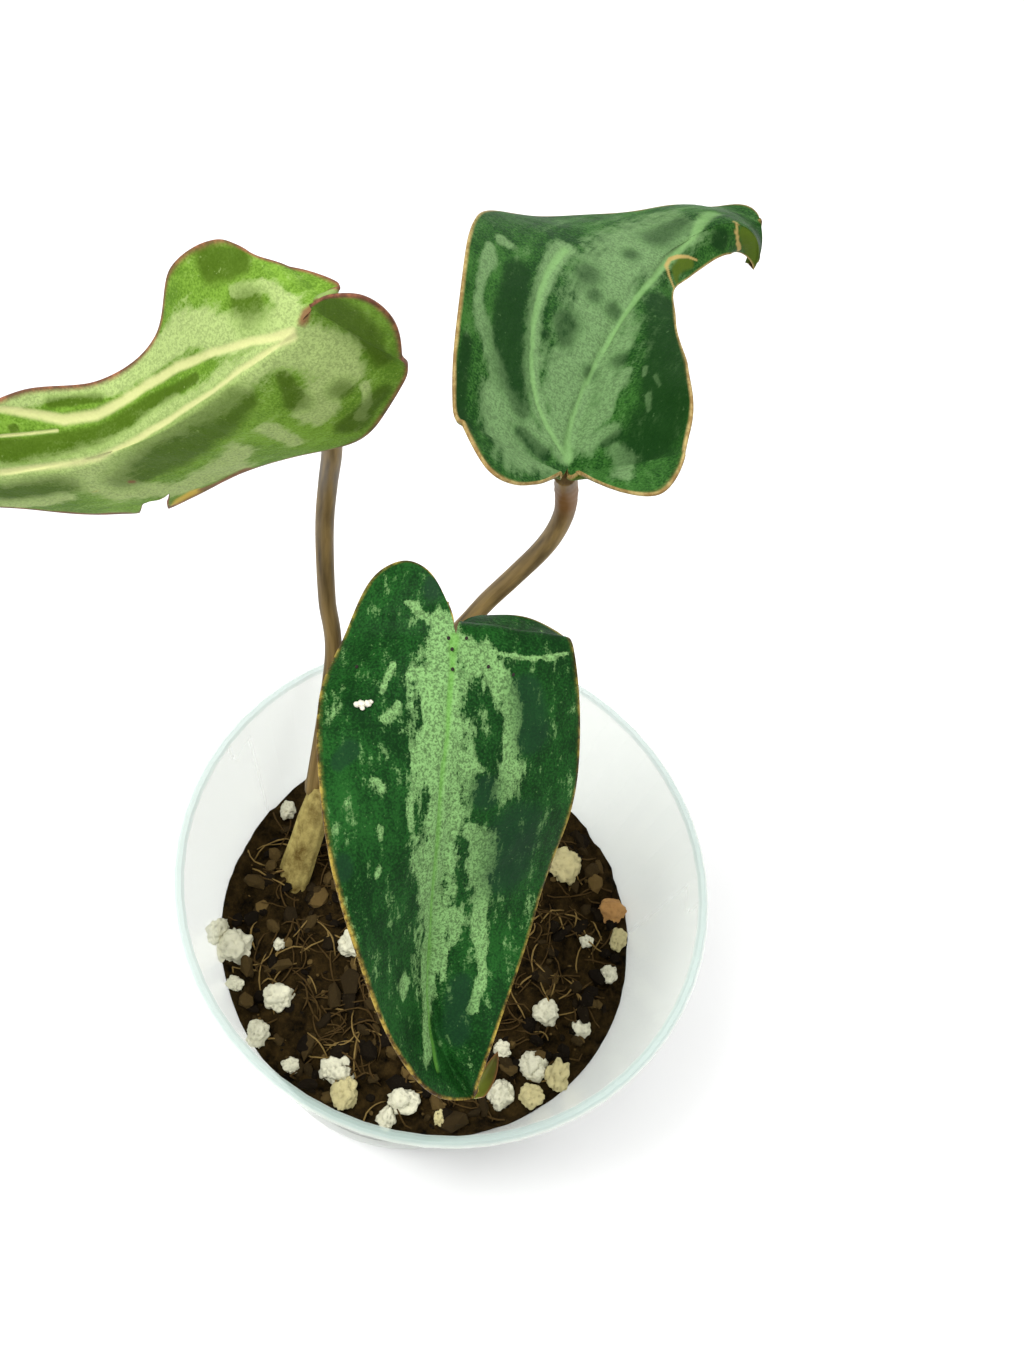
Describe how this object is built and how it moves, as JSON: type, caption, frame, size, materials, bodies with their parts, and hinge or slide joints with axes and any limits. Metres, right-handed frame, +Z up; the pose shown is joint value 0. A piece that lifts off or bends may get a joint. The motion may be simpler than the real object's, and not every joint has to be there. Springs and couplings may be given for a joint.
{
  "type": "potted velvet-leaved anthurium",
  "caption": "Young velvet-leaved anthurium with heart-shaped blades on slender stalks, rooted in bark mix in a clear tapered pot.",
  "frame": {"origin": "centre of the pot's foot, on the surface that the pot stands on", "axes": "+Z up along the pot's axis, +Y to the back, +X to the viewer's right"},
  "size_m": [0.1421, 0.142, 0.1844],
  "materials": {
    "pot": "clear, slightly milky, smooth",
    "potting_mix": "loose dark bark and coir with pale perlite, matte",
    "crown": "papery tan sheath, matte",
    "petiole_front": "olive brown, satin",
    "petiole_right": "olive brown, satin",
    "petiole_left": "olive brown, satin",
    "blade_front": "velvety dark green with a silver band",
    "blade_right": "velvety mid green with silver veins",
    "blade_left": "young yellow-green with pale veins"
  },
  "bodies": {
    "root": {"pot": "pot", "potting_mix": "potting_mix", "crown": "crown", "petiole_front": "petiole_front", "petiole_right": "petiole_right", "petiole_left": "petiole_left", "blade_front": "blade_front", "blade_right": "blade_right", "blade_left": "blade_left"}
  },
  "joints": []
}
